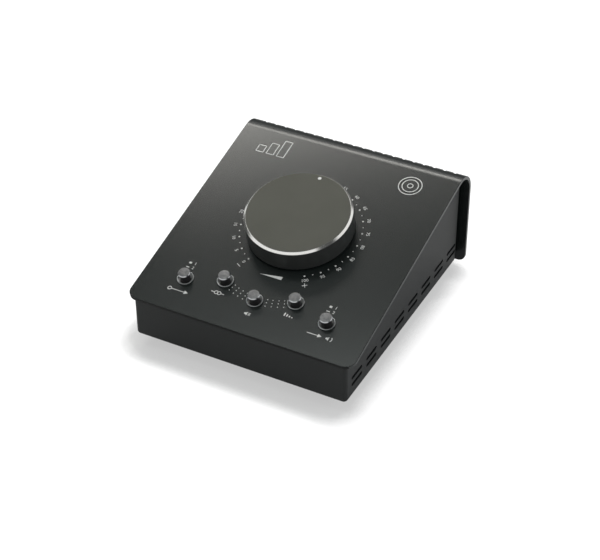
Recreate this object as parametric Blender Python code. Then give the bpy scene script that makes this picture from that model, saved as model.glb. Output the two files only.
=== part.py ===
# Desktop monitor controller: a folded sheet cover over a sheet steel tray, with
# one large volume knob, five push buttons on the sloping panel and eight rear jacks.
# Metres, +Z up, the front towards -Y. The origin lies on the table, midway across
# the cover and midway between its front edge and the ends of the jacks.
import math

import bmesh
import bpy

for old in list(bpy.data.objects):
    bpy.data.objects.remove(old)

# Fits
FIT_GAP = 0.0003                 # between pieces that rest on or pass through each other
CUT_OVERRUN = 0.002              # how far a cutter runs past the face it opens

# How finely round shapes are drawn
KNOB_STEPS = 48
ROUND_STEPS = 20
BORE_STEPS = 12
BEND_STEPS = 8
CORNER_STEPS = 3
SLOT_END_STEPS = 3
SMOOTH_ANGLE = math.radians(35)
MERGE_DISTANCE = 0.00001

# Top cover: one sheet, sloping panel, rear bend and rear flange
COVER_WIDTH = 0.135
COVER_DEPTH = 0.1506
COVER_SHEET = 0.002
COVER_SLOPE_ANGLE = math.radians(14.33)
COVER_FRONT_HEIGHT = 0.02578     # panel's front edge above the tray's underside
COVER_BEND_RADIUS = 0.0134
COVER_CORNER_RADIUS = 0.006
FLANGE_CORNER_RADIUS = 0.0045
FLANGE_DROP = 0.0032             # flange's lower edge below the tray's underside

# Vent slots that start in the rear flange and run over the bend
REAR_VENT_COUNT = 20
REAR_VENT_MARGIN = 0.00784       # middle of the first slot inside the cover's side
REAR_VENT_WIDTH = 0.003
REAR_VENT_DROP = 0.0045          # lower end below the start of the bend
REAR_VENT_END_ANGLE = math.radians(70)

# Tray: floor, front, sides and rear wall in thinner sheet
TRAY_SHEET = 0.0015
TRAY_SIDE_INSET = 0.0038
TRAY_FRONT_INSET = 0.00176
TRAY_REAR_GAP = 0.0021           # between its rear wall and the cover's flange
TRAY_FRONT_CORNER = 0.0024
TRAY_REAR_CORNER = 0.005
TRAY_FOLD_RADIUS = 0.0018

# Vent slots in the tray's sides
SIDE_VENT_COLUMNS = 8
SIDE_VENT_ROWS = 2
SIDE_VENT_LENGTH = 0.0121
SIDE_VENT_WIDTH = 0.0014
SIDE_VENT_FRONT_MARGIN = 0.00645
SIDE_VENT_REAR_MARGIN = 0.0046
SIDE_VENT_LOW_ROW = 0.0079       # middle of the lower row above the tray's underside
SIDE_VENT_ROW_RISE = 0.0044

# Rubber feet, their screws and what the screws go into
FOOT_HEIGHT = 0.007
FOOT_RADIUS = 0.0055
FOOT_TAPER = 0.0005
FOOT_SIDE_INSET = 0.0107         # foot's axis inside the tray's side
FOOT_END_INSET = 0.0158          # foot's axis inside the tray's front or rear
FOOT_SCREW_RADIUS = 0.0015
FOOT_SCREW_HEAD_RADIUS = 0.00275
FOOT_SCREW_HEAD = 0.002
FOOT_SCREW_SINK = 0.0009         # head's underside above the table
FOOT_SCREW_REACH = 0.0055        # thread above the tray's floor
FOOT_RECESS_ROOM = 0.00065       # round the screw's head
THREAD_WALL = 0.0012             # round the foot screws' threads
THREAD_ROOF = 0.001              # above the foot screws' ends in the rear bosses

# Volume knob and potentiometer, on an axis square to the panel
KNOB_OFFSET = 0.0009             # axis past half the cover's depth, along the slope
KNOB_RADIUS = 0.0299
KNOB_TOP = 0.014
KNOB_CHAMFER = 0.0012
KNOB_RUNNING_GAP = 0.0008
KNOB_SKIRT_WALL = 0.004
KNOB_CROWN = 0.0055
KNOB_ROOF = 0.002                # left above the shaft's bore
KNOB_HUB_WALL = 0.0042
KNOB_HUB_ROOM = 0.0004           # between the hub and the end of the bushing
POINTER_RADIUS = 0.0009
POINTER_THICKNESS = 0.0006
POINTER_EDGE_INSET = 0.0035      # pointer's middle inside the knob's edge
GRUB_SCREW_RADIUS = 0.0014
SHAFT_RADIUS = 0.003
SHAFT_FLAT_DEPTH = 0.0005
POT_RADIUS = 0.012
POT_FLOOR = 0.001                # left under the shaft's bore
BUSHING_WALL = 0.0012
POT_NUT_WALL = 0.0012
POT_NUT_THICKNESS = 0.002
BUSHING_SHOWING = 0.0007         # thread past the nut

# Push buttons: outer pair and middle one in the front row, inner pair behind
BUTTON_SIDE_MARGIN = 0.025       # outer buttons' axes inside the cover's sides
BUTTON_FRONT_ROW = 0.0221
BUTTON_REAR_ROW = 0.0284
BUTTON_TRAVEL = 0.0022
BUTTON_SIDE_GAP = 0.0002         # between the cap's head and the bezel's bore
CAP_HEAD_RADIUS = 0.0035
CAP_NECK_INSET = 0.0006
CAP_HEAD_HEIGHT = 0.003
CAP_FLARE = 0.0008
CAP_TOP = 0.0056
CAP_EDGE_RADIUS = 0.0006
CAP_DISH = 0.0003
CAP_CROWN = 0.0027               # solid above the plunger's socket
CAP_FOOT = 0.0014                # cap's lower end below the panel's face
BEZEL_WALL = 0.0003
BEZEL_LIP = 0.0003               # flange past the edge of the panel's hole
BEZEL_FLANGE = 0.0007
BEZEL_TAIL = 0.001               # barrel past the panel's underside
PLUNGER_SIDE = 0.003
PLUNGER_ROOM = 0.0016            # under the plunger when it is pressed
SWITCH_SIDE = 0.0085
SWITCH_HEADROOM = 0.0016         # between the pressed cap and the switch
SWITCH_FLOOR = 0.001

# Main board, hung under the panel
BOARD_THICKNESS = 0.0016
MAIN_BOARD_DEPTH = 0.014         # its upper face below the panel's face
MAIN_BOARD_SIDE_EDGE = 0.00175   # past the outer switches
MAIN_BOARD_FRONT = 0.011
MAIN_BOARD_REAR_ROOM = 0.022     # between it and the rear board, for the flat cable
STANDOFF_WALL = 0.0012
STANDOFF_INSET = 0.0105          # standoffs' axes inside the outer buttons'
STANDOFF_DISTANCE = 0.0145
BOARD_SCREW_RADIUS = 0.00125
BOARD_SCREW_HEAD_RADIUS = 0.0023
BOARD_SCREW_HEAD = 0.0016
BOARD_SCREW_REACH = 0.006        # thread above the board

# Rear jacks in two rows, with their nuts and board
JACK_COLUMNS = 4
JACK_SIDE_MARGIN = 0.0217        # outer jacks' axes inside the tray's sides
JACK_FLOOR_GAP = 0.004           # between the tray's floor and the lower jacks
JACK_ROW_GAP = 0.005
JACK_BODY_WIDTH = 0.015
JACK_BODY_HEIGHT = 0.014
JACK_BODY_LENGTH = 0.022
JACK_BORE_RADIUS = 0.0032
JACK_BUSHING_WALL = 0.00155
JACK_END_WALL = 0.0072           # left behind the bore
JACK_NUT_WALL = 0.00195
JACK_NUT_THICKNESS = 0.0024
JACK_THREAD_SHOWING = 0.0006
REAR_BOARD_EDGE = 0.0025         # past the jack bodies, above and below
REAR_BOARD_SIDE_EDGE = 0.0065    # past the outer jack bodies

# Flat cable between the boards and its two plugs
RIBBON_WIDTH = 0.02
RIBBON_THICKNESS = 0.001
RIBBON_STEPS = 12
PLUG_MARGIN = 0.001              # plug past the cable, each side
PLUG_THICKNESS = 0.006
PLUG_HEIGHT = 0.005
MAIN_PLUG_INSET = 0.006          # plug's middle inside the main board's rear edge
REAR_PLUG_RISE = 0.0185          # plug's middle above the tray's floor

# Fits that follow from the sizes above
FOOT_SCREW_HOLE = FOOT_SCREW_RADIUS + FIT_GAP
FOOT_RECESS_RADIUS = FOOT_SCREW_HEAD_RADIUS + FOOT_RECESS_ROOM
FOOT_RECESS_DEPTH = FOOT_SCREW_SINK + FOOT_SCREW_HEAD + FIT_GAP
PILLAR_RADIUS = FOOT_SCREW_HOLE + THREAD_WALL
SHAFT_BORE = SHAFT_RADIUS + FIT_GAP
BUSHING_RADIUS = SHAFT_BORE + BUSHING_WALL
BUSHING_RISE = FIT_GAP + POT_NUT_THICKNESS + BUSHING_SHOWING
KNOB_HUB_LIFT = BUSHING_RISE + KNOB_HUB_ROOM
KNOB_HUB_RADIUS = SHAFT_BORE + KNOB_HUB_WALL
BEZEL_BORE = CAP_HEAD_RADIUS + BUTTON_SIDE_GAP
BEZEL_BARREL = BEZEL_BORE + BEZEL_WALL
BEZEL_HOLE = BEZEL_BARREL + FIT_GAP
SWITCH_TOP_DEPTH = CAP_FOOT + BUTTON_TRAVEL + SWITCH_HEADROOM
BOARD_SCREW_HOLE = BOARD_SCREW_RADIUS + FIT_GAP
STANDOFF_RADIUS = BOARD_SCREW_HOLE + STANDOFF_WALL
JACK_BUSHING_RADIUS = JACK_BORE_RADIUS + JACK_BUSHING_WALL
JACK_BUSHING_HOLE = JACK_BUSHING_RADIUS + FIT_GAP
JACK_STICK_OUT = FIT_GAP + JACK_NUT_THICKNESS + JACK_THREAD_SHOWING

# Places that follow from the sizes above. Heights are from the table, and depths
# under the panel are from its outer face.
FRONT_Y = -(COVER_DEPTH + JACK_STICK_OUT) / 2
FLANGE_Y = FRONT_Y + COVER_DEPTH
TRAY_BASE_Z = FOOT_HEIGHT
TRAY_FLOOR_Z = TRAY_BASE_Z + TRAY_SHEET
PANEL_EDGE_Z = TRAY_BASE_Z + COVER_FRONT_HEIGHT
FLANGE_END_Z = TRAY_BASE_Z - FLANGE_DROP
TRAY_HALF_WIDTH = COVER_WIDTH / 2 - TRAY_SIDE_INSET
TRAY_FRONT_Y = FRONT_Y + TRAY_FRONT_INSET
TRAY_REAR_Y = FLANGE_Y - COVER_SHEET - TRAY_REAR_GAP
JACK_FACE_Y = TRAY_REAR_Y - TRAY_SHEET - FIT_GAP
JACK_END_Y = FLANGE_Y + JACK_STICK_OUT
BOARD_TOP_DEPTH = MAIN_BOARD_DEPTH - FIT_GAP
BOARD_UNDERSIDE = MAIN_BOARD_DEPTH + BOARD_THICKNESS
REAR_BOARD_Y = JACK_FACE_Y - JACK_BODY_LENGTH - FIT_GAP
MAIN_BOARD_END_Y = REAR_BOARD_Y - BOARD_THICKNESS - MAIN_BOARD_REAR_ROOM
MAIN_BOARD_REAR = (MAIN_BOARD_END_Y - FRONT_Y - BOARD_UNDERSIDE * math.sin(COVER_SLOPE_ANGLE)
                   ) / math.cos(COVER_SLOPE_ANGLE)
BEND_CENTRE_Y = FLANGE_Y - COVER_BEND_RADIUS
KNOB_DISTANCE = COVER_DEPTH / 2 + KNOB_OFFSET
BUTTON_OUTER_X = COVER_WIDTH / 2 - BUTTON_SIDE_MARGIN
BUTTON_INNER_X = BUTTON_OUTER_X / 2
STANDOFF_X = BUTTON_OUTER_X - STANDOFF_INSET
JACK_OUTER_X = TRAY_HALF_WIDTH - JACK_SIDE_MARGIN
JACK_COLUMN_PITCH = 2 * JACK_OUTER_X / (JACK_COLUMNS - 1)


def panel_height(y):
    """Height of the panel's outer plane above the table at depth y."""
    return PANEL_EDGE_Z + (y - FRONT_Y) * math.tan(COVER_SLOPE_ANGLE)


BEND_CENTRE_Z = panel_height(BEND_CENTRE_Y) - COVER_BEND_RADIUS / math.cos(COVER_SLOPE_ANGLE)
COVER_TOP_Z = BEND_CENTRE_Z + COVER_BEND_RADIUS


def finish(name, colour, roughness, metallic):
    """One Principled material for a finish."""
    material = bpy.data.materials.new(name)
    material.use_nodes = True
    shader = material.node_tree.nodes["Principled BSDF"]
    shader.inputs["Base Color"].default_value = (*colour, 1)
    shader.inputs["Roughness"].default_value = roughness
    shader.inputs["Metallic"].default_value = metallic
    return material


COVER_PAINT = finish("dark_grey_powder_coat", (0.045, 0.045, 0.043), 0.45, 0)
TRAY_PAINT = finish("black_powder_coat", (0.030, 0.033, 0.034), 0.55, 0)
KNOB_METAL = finish("grey_anodised_aluminium", (0.10, 0.10, 0.09), 0.4, 1)
POINTER_PAINT = finish("white_fill_paint", (0.75, 0.75, 0.74), 0.5, 0)
CAP_PLASTIC = finish("satin_grey_plastic", (0.15, 0.15, 0.16), 0.3, 0)
BEZEL_METAL = finish("brushed_grey_bezel", (0.18, 0.18, 0.18), 0.35, 1)
RUBBER = finish("black_rubber", (0.015, 0.015, 0.015), 0.85, 0)
ZINC = finish("zinc_plated_steel", (0.55, 0.56, 0.57), 0.3, 1)
NICKEL = finish("nickel_plated_brass", (0.60, 0.58, 0.54), 0.22, 1)
BLACK_PLASTIC = finish("black_nylon", (0.02, 0.02, 0.02), 0.5, 0)
WHITE_PLASTIC = finish("white_acetal", (0.70, 0.70, 0.67), 0.4, 0)
BOARD_LAMINATE = finish("green_circuit_board", (0.02, 0.11, 0.04), 0.45, 0)
RIBBON_PLASTIC = finish("grey_flat_cable", (0.33, 0.33, 0.34), 0.5, 0)


def add_object(name, shape, material, parent=None, at=(0, 0, 0)):
    """Turn a bmesh into a named object, shaded smooth with sharp edges kept."""
    bmesh.ops.recalc_face_normals(shape, faces=shape.faces)
    mesh = bpy.data.meshes.new(name)
    shape.to_mesh(mesh)
    shape.free()
    mesh.shade_smooth()
    mesh.set_sharp_from_angle(angle=SMOOTH_ANGLE)
    if material:
        mesh.materials.append(material)
    obj = bpy.data.objects.new(name, mesh)
    obj.parent = parent
    obj.location = at
    bpy.context.scene.collection.objects.link(obj)
    return obj


def add_tool(name, shape, parent=None, at=(0, 0, 0)):
    """A shape that only joins or cuts other pieces."""
    tool = add_object(name, shape, None, parent, at)
    tool.hide_render = True
    tool.display_type = "WIRE"
    return tool


def combine(obj, tool, operation="DIFFERENCE"):
    """Cut a tool out of a piece, join it on, or keep what they share."""
    boolean = obj.modifiers.new(tool.name, "BOOLEAN")
    boolean.operation = operation
    boolean.solver = "EXACT"
    boolean.object = tool


def box(low, high):
    """A block between two corners."""
    shape = bmesh.new()
    bmesh.ops.create_cube(shape, size=1)
    size = [b - a for a, b in zip(low, high)]
    middle = [(a + b) / 2 for a, b in zip(low, high)]
    bmesh.ops.scale(shape, vec=size, verts=shape.verts)
    bmesh.ops.translate(shape, vec=middle, verts=shape.verts)
    return shape


def turned(profile, steps):
    """Spin a closed profile of (radius, height) points round Z."""
    shape = bmesh.new()
    corners = [shape.verts.new((radius, 0, height)) for radius, height in profile]
    edges = [shape.edges.new(pair) for pair in zip(corners, corners[1:] + corners[:1])
             if pair[0].co.x or pair[1].co.x]
    bmesh.ops.spin(shape, geom=corners + edges, cent=(0, 0, 0), axis=(0, 0, 1),
                   angle=2 * math.pi, steps=steps, use_merge=True)
    bmesh.ops.remove_doubles(shape, verts=shape.verts, dist=MERGE_DISTANCE)
    return shape


def rod_profile(radius, bottom, top):
    """Profile of a plain rod."""
    return [(0, bottom), (radius, bottom), (radius, top), (0, top)]


def screw_profile(shank, head, head_top, head_bottom, tip):
    """Profile of a screw that points up, with its head below."""
    return [(0, head_bottom), (head, head_bottom), (head, head_top),
            (shank, head_top), (shank, tip), (0, tip)]


def prism_x(outline, half_width):
    """Extrude a (y, z) outline along X, centred on the middle plane."""
    shape = bmesh.new()
    side = shape.faces.new([shape.verts.new((-half_width, y, z)) for y, z in outline])
    grown = bmesh.ops.extrude_face_region(shape, geom=[side])["geom"]
    bmesh.ops.translate(shape, vec=(2 * half_width, 0, 0),
                        verts=[item for item in grown if isinstance(item, bmesh.types.BMVert)])
    return shape


def arc(centre, radius, start, end, steps):
    """Points on an arc between two angles, both ends included."""
    angles = [start + (end - start) * step / steps for step in range(steps + 1)]
    return [(centre[0] + radius * math.cos(a), centre[1] + radius * math.sin(a)) for a in angles]


def round_edges(shape, radius, wanted, steps=CORNER_STEPS):
    """Round the edges that a test on their two ends picks out."""
    edges = [edge for edge in shape.edges if wanted(edge.verts[0].co, edge.verts[1].co)]
    bmesh.ops.bevel(shape, geom=edges, offset=radius, offset_type="OFFSET", affect="EDGES",
                    segments=steps, profile=0.5, material=-1)


def lay_along_y(shape):
    """Turn a shape made round Z so that its +Z points along +Y."""
    for vert in shape.verts:
        vert.co = (-vert.co.x, vert.co.z, vert.co.y)
    return shape


def hexagon_nut(bore, wall, thickness, bottom):
    """A hexagon nut round Z, whose flats lie one wall outside its bore."""
    shape = bmesh.new()
    rim = bmesh.ops.create_circle(shape, segments=6, radius=(bore + wall) / math.cos(math.pi / 6))
    hole = bmesh.ops.create_circle(shape, segments=BORE_STEPS, radius=bore)
    bmesh.ops.translate(shape, vec=(0, 0, bottom), verts=shape.verts)
    edges = list({edge for vert in rim["verts"] + hole["verts"] for edge in vert.link_edges})
    bmesh.ops.triangle_fill(shape, use_beauty=True, use_dissolve=False, edges=edges)
    grown = bmesh.ops.extrude_face_region(shape, geom=list(shape.faces))["geom"]
    bmesh.ops.translate(shape, vec=(0, 0, thickness),
                        verts=[item for item in grown if isinstance(item, bmesh.types.BMVert)])
    return shape


# The panel's own frame: X across, Y up the slope from the front edge, Z out of it
panel = bpy.data.objects.new("panel_frame", None)
panel.location = (0, FRONT_Y, PANEL_EDGE_Z)
panel.rotation_euler = (COVER_SLOPE_ANGLE, 0, 0)
bpy.context.scene.collection.objects.link(panel)


def cover_line(depth):
    """Section of the cover at a depth inside its outer face, front to flange end."""
    front = (FRONT_Y + depth * math.sin(COVER_SLOPE_ANGLE),
             PANEL_EDGE_Z - depth * math.cos(COVER_SLOPE_ANGLE))
    bend = arc((BEND_CENTRE_Y, BEND_CENTRE_Z), COVER_BEND_RADIUS - depth,
               math.pi / 2 + COVER_SLOPE_ANGLE, 0, BEND_STEPS)
    return [front, *bend, (FLANGE_Y - depth, FLANGE_END_Z)]


def jack_columns():
    """X of each jack, left to right."""
    return [column * JACK_COLUMN_PITCH - JACK_OUTER_X for column in range(JACK_COLUMNS)]


def jack_rows():
    """Height of each row of jacks, lower row first."""
    low = TRAY_FLOOR_Z + JACK_FLOOR_GAP + JACK_BODY_HEIGHT / 2
    return [low, low + JACK_BODY_HEIGHT + JACK_ROW_GAP]


BUTTONS = {
    "source": (-BUTTON_OUTER_X, BUTTON_FRONT_ROW),
    "mono": (-BUTTON_INNER_X, BUTTON_REAR_ROW),
    "mute": (0, BUTTON_FRONT_ROW),
    "dim": (BUTTON_INNER_X, BUTTON_REAR_ROW),
    "monitor": (BUTTON_OUTER_X, BUTTON_FRONT_ROW),
}

FOOT_X = TRAY_HALF_WIDTH - FOOT_SIDE_INSET
FEET = {
    "front_left": (-FOOT_X, TRAY_FRONT_Y + FOOT_END_INSET),
    "front_right": (FOOT_X, TRAY_FRONT_Y + FOOT_END_INSET),
    "rear_left": (-FOOT_X, TRAY_REAR_Y - FOOT_END_INSET),
    "rear_right": (FOOT_X, TRAY_REAR_Y - FOOT_END_INSET),
}


def jack_hole_tool():
    """Rods that clear the jacks' bushings through both rear sheets."""
    shape = bmesh.new()
    for x in jack_columns():
        for z in jack_rows():
            rod = bmesh.ops.create_cone(shape, cap_ends=True, segments=ROUND_STEPS,
                                        radius1=JACK_BUSHING_HOLE, radius2=JACK_BUSHING_HOLE,
                                        depth=JACK_END_Y - JACK_FACE_Y)
            for vert in rod["verts"]:
                vert.co = (vert.co.x + x, (JACK_END_Y + JACK_FACE_Y) / 2 - vert.co.z,
                           vert.co.y + z)
    return add_tool("jack_holes", shape)


def panel_hole_tool():
    """Rods that clear the button bezels and the potentiometer's bushing."""
    holes = [(x, s, BEZEL_HOLE) for x, s in BUTTONS.values()]
    holes.append((0, KNOB_DISTANCE, BUSHING_RADIUS + FIT_GAP))
    shape = bmesh.new()
    for x, s, radius in holes:
        rod = bmesh.ops.create_cone(shape, cap_ends=True, segments=ROUND_STEPS, radius1=radius,
                                    radius2=radius, depth=COVER_SHEET + 2 * CUT_OVERRUN)
        bmesh.ops.translate(shape, vec=(x, s, -COVER_SHEET / 2), verts=rod["verts"])
    return add_tool("panel_holes", shape, panel)


def rear_vent_tool():
    """Upright slots, round at the foot, that leave the cover over the bend."""
    shape = bmesh.new()
    start = BEND_CENTRE_Y + COVER_BEND_RADIUS * math.cos(REAR_VENT_END_ANGLE)
    end = FLANGE_Y + CUT_OVERRUN
    half = REAR_VENT_WIDTH / 2
    sill = BEND_CENTRE_Z - REAR_VENT_DROP
    top = COVER_TOP_Z + CUT_OVERRUN
    outline = [*arc((0, sill + half), half, math.pi, 2 * math.pi, 2 * SLOT_END_STEPS),
               (half, top), (-half, top)]
    first = REAR_VENT_MARGIN - COVER_WIDTH / 2
    pitch = -2 * first / (REAR_VENT_COUNT - 1)
    for slot in range(REAR_VENT_COUNT):
        x = first + slot * pitch
        face = shape.faces.new([shape.verts.new((x + dx, start, z)) for dx, z in outline])
        grown = bmesh.ops.extrude_face_region(shape, geom=[face])["geom"]
        moved = [item for item in grown if isinstance(item, bmesh.types.BMVert)]
        bmesh.ops.translate(shape, vec=(0, end - start, 0), verts=moved)
    return add_tool("rear_vents", shape)


def pillar_tool():
    """Pillars under the panel, for the two front foot screws."""
    shape = bmesh.new()
    for name in ("front_left", "front_right"):
        x, y = FEET[name]
        top = panel_height(y) - COVER_SHEET / math.cos(COVER_SLOPE_ANGLE) / 2
        bottom = TRAY_FLOOR_Z + FIT_GAP
        rod = bmesh.ops.create_cone(shape, cap_ends=True, segments=ROUND_STEPS,
                                    radius1=PILLAR_RADIUS, radius2=PILLAR_RADIUS,
                                    depth=top - bottom)
        bmesh.ops.translate(shape, vec=(x, y, (top + bottom) / 2), verts=rod["verts"])
    return add_tool("cover_pillars", shape)


def standoff_tool():
    """Standoffs under the panel that carry the main board."""
    shape = bmesh.new()
    top = -COVER_SHEET / 2
    bottom = -BOARD_TOP_DEPTH
    for x in (-STANDOFF_X, STANDOFF_X):
        rod = bmesh.ops.create_cone(shape, cap_ends=True, segments=ROUND_STEPS,
                                    radius1=STANDOFF_RADIUS, radius2=STANDOFF_RADIUS,
                                    depth=top - bottom)
        bmesh.ops.translate(shape, vec=(x, STANDOFF_DISTANCE, (top + bottom) / 2),
                            verts=rod["verts"])
    return add_tool("board_standoffs", shape, panel)


def board_screw_hole_tool():
    """Rods that clear the board screws through the board and up the standoffs."""
    shape = bmesh.new()
    bottom = -(BOARD_UNDERSIDE + CUT_OVERRUN)
    top = BOARD_SCREW_REACH - MAIN_BOARD_DEPTH + FIT_GAP
    for x in (-STANDOFF_X, STANDOFF_X):
        rod = bmesh.ops.create_cone(shape, cap_ends=True, segments=BORE_STEPS,
                                    radius1=BOARD_SCREW_HOLE, radius2=BOARD_SCREW_HOLE,
                                    depth=top - bottom)
        bmesh.ops.translate(shape, vec=(x, STANDOFF_DISTANCE, (top + bottom) / 2),
                            verts=rod["verts"])
    return add_tool("board_screw_holes", shape, panel)


def foot_screw_hole_tool():
    """Rods that clear the foot screws through the tray's floor and into the threads."""
    shape = bmesh.new()
    bottom = TRAY_BASE_Z - CUT_OVERRUN
    top = TRAY_FLOOR_Z + FOOT_SCREW_REACH + FIT_GAP
    for x, y in FEET.values():
        rod = bmesh.ops.create_cone(shape, cap_ends=True, segments=BORE_STEPS,
                                    radius1=FOOT_SCREW_HOLE, radius2=FOOT_SCREW_HOLE,
                                    depth=top - bottom)
        bmesh.ops.translate(shape, vec=(x, y, (top + bottom) / 2), verts=rod["verts"])
    return add_tool("foot_screw_holes", shape)


def make_top_cover(tools):
    """Sloping panel, rear bend and flange in one sheet, with pillars and standoffs."""
    shape = prism_x(cover_line(0) + cover_line(COVER_SHEET)[::-1], COVER_WIDTH / 2)
    side = COVER_WIDTH / 2
    reach = COVER_SHEET

    def at_front(a, b):
        ends_front = max(a.y, b.y) < FRONT_Y + reach
        return a.x == b.x and abs(abs(a.x) - side) < MERGE_DISTANCE and ends_front

    def at_flange_end(a, b):
        low = max(a.z, b.z) < FLANGE_END_Z + MERGE_DISTANCE
        return a.x == b.x and abs(abs(a.x) - side) < MERGE_DISTANCE and low

    round_edges(shape, COVER_CORNER_RADIUS, at_front, 2 * CORNER_STEPS)
    round_edges(shape, FLANGE_CORNER_RADIUS, at_flange_end)
    cover = add_object("top_cover", shape, COVER_PAINT)
    combine(cover, tools["pillars"], "UNION")
    combine(cover, tools["standoffs"], "UNION")
    combine(cover, tools["panel_holes"])
    combine(cover, tools["rear_vents"])
    combine(cover, tools["jack_holes"])
    combine(cover, tools["board_screw_holes"])
    combine(cover, tools["foot_screw_holes"])


def tray_block(inset, top, base):
    """A block with the tray's rounded plan, drawn in from its outside by an inset."""
    half = TRAY_HALF_WIDTH - inset
    front = TRAY_FRONT_Y + inset
    rear = TRAY_REAR_Y - inset
    shape = box((-half, front, base), (half, rear, top))
    middle = (front + rear) / 2

    def upright(a, b):
        return abs(a.z - b.z) > TRAY_SHEET

    round_edges(shape, TRAY_FRONT_CORNER - inset, lambda a, b: upright(a, b) and a.y < middle)
    round_edges(shape, TRAY_REAR_CORNER - inset, lambda a, b: upright(a, b) and a.y > middle)
    low = base + MERGE_DISTANCE
    round_edges(shape, TRAY_FOLD_RADIUS - inset, lambda a, b: a.z < low and b.z < low)
    return shape


def side_vent_tool():
    """Two rows of round-ended slots through both sides of the tray."""
    shape = bmesh.new()
    half = SIDE_VENT_WIDTH / 2
    reach = TRAY_HALF_WIDTH + CUT_OVERRUN
    first = TRAY_FRONT_Y + SIDE_VENT_FRONT_MARGIN
    last = TRAY_REAR_Y - SIDE_VENT_REAR_MARGIN - SIDE_VENT_LENGTH
    for column in range(SIDE_VENT_COLUMNS):
        front = first + (last - first) * column / (SIDE_VENT_COLUMNS - 1) + half
        rear = front + SIDE_VENT_LENGTH - 2 * half
        for row in range(SIDE_VENT_ROWS):
            z = TRAY_BASE_Z + SIDE_VENT_LOW_ROW + row * SIDE_VENT_ROW_RISE
            outline = [*arc((front, z), half, math.pi / 2, 3 * math.pi / 2, SLOT_END_STEPS),
                       *arc((rear, z), half, -math.pi / 2, math.pi / 2, SLOT_END_STEPS)]
            face = shape.faces.new([shape.verts.new((-reach, y, h)) for y, h in outline])
            grown = bmesh.ops.extrude_face_region(shape, geom=[face])["geom"]
            moved = [item for item in grown if isinstance(item, bmesh.types.BMVert)]
            bmesh.ops.translate(shape, vec=(2 * reach, 0, 0), verts=moved)
    return add_tool("side_vents", shape)


def boss_tool():
    """Threaded bosses on the tray's floor, for the two rear foot screws."""
    shape = bmesh.new()
    bottom = TRAY_BASE_Z + TRAY_SHEET / 2
    top = TRAY_FLOOR_Z + FOOT_SCREW_REACH + THREAD_ROOF
    for name in ("rear_left", "rear_right"):
        x, y = FEET[name]
        rod = bmesh.ops.create_cone(shape, cap_ends=True, segments=ROUND_STEPS,
                                    radius1=PILLAR_RADIUS, radius2=PILLAR_RADIUS,
                                    depth=top - bottom)
        bmesh.ops.translate(shape, vec=(x, y, (top + bottom) / 2), verts=rod["verts"])
    return add_tool("rear_bosses", shape)


def make_chassis_tray(tools):
    """Open tray whose walls follow the cover's underside."""
    tray = add_object("chassis_tray", tray_block(0, COVER_TOP_Z, TRAY_BASE_Z), TRAY_PAINT)
    below = FLANGE_END_Z - CUT_OVERRUN
    line = cover_line(COVER_SHEET + FIT_GAP)
    under = [*line[:-1], (line[-1][0], below), (line[0][0], below)]
    trim = add_tool("tray_trim", prism_x(under, COVER_WIDTH / 2))
    hollow = tray_block(TRAY_SHEET, COVER_TOP_Z + CUT_OVERRUN, TRAY_FLOOR_Z)
    combine(tray, add_tool("tray_hollow", hollow))
    combine(tray, trim, "INTERSECT")
    combine(tray, boss_tool(), "UNION")
    combine(tray, side_vent_tool())
    combine(tray, tools["jack_holes"])
    combine(tray, tools["foot_screw_holes"])


def make_feet():
    """Four turned rubber feet, each with a screw up into the tray or a pillar."""
    top = FOOT_HEIGHT - FIT_GAP
    foot = [(FOOT_RECESS_RADIUS, 0), (FOOT_RADIUS - FOOT_TAPER, 0), (FOOT_RADIUS, top),
            (FOOT_SCREW_HOLE, top), (FOOT_SCREW_HOLE, FOOT_RECESS_DEPTH),
            (FOOT_RECESS_RADIUS, FOOT_RECESS_DEPTH)]
    screw = screw_profile(FOOT_SCREW_RADIUS, FOOT_SCREW_HEAD_RADIUS,
                          FOOT_SCREW_SINK + FOOT_SCREW_HEAD, FOOT_SCREW_SINK,
                          TRAY_FLOOR_Z + FOOT_SCREW_REACH)
    for name, (x, y) in FEET.items():
        add_object("foot_" + name, turned(foot, ROUND_STEPS), RUBBER, at=(x, y, 0))
        add_object("foot_screw_" + name, turned(screw, BORE_STEPS), ZINC, at=(x, y, 0))


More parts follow.
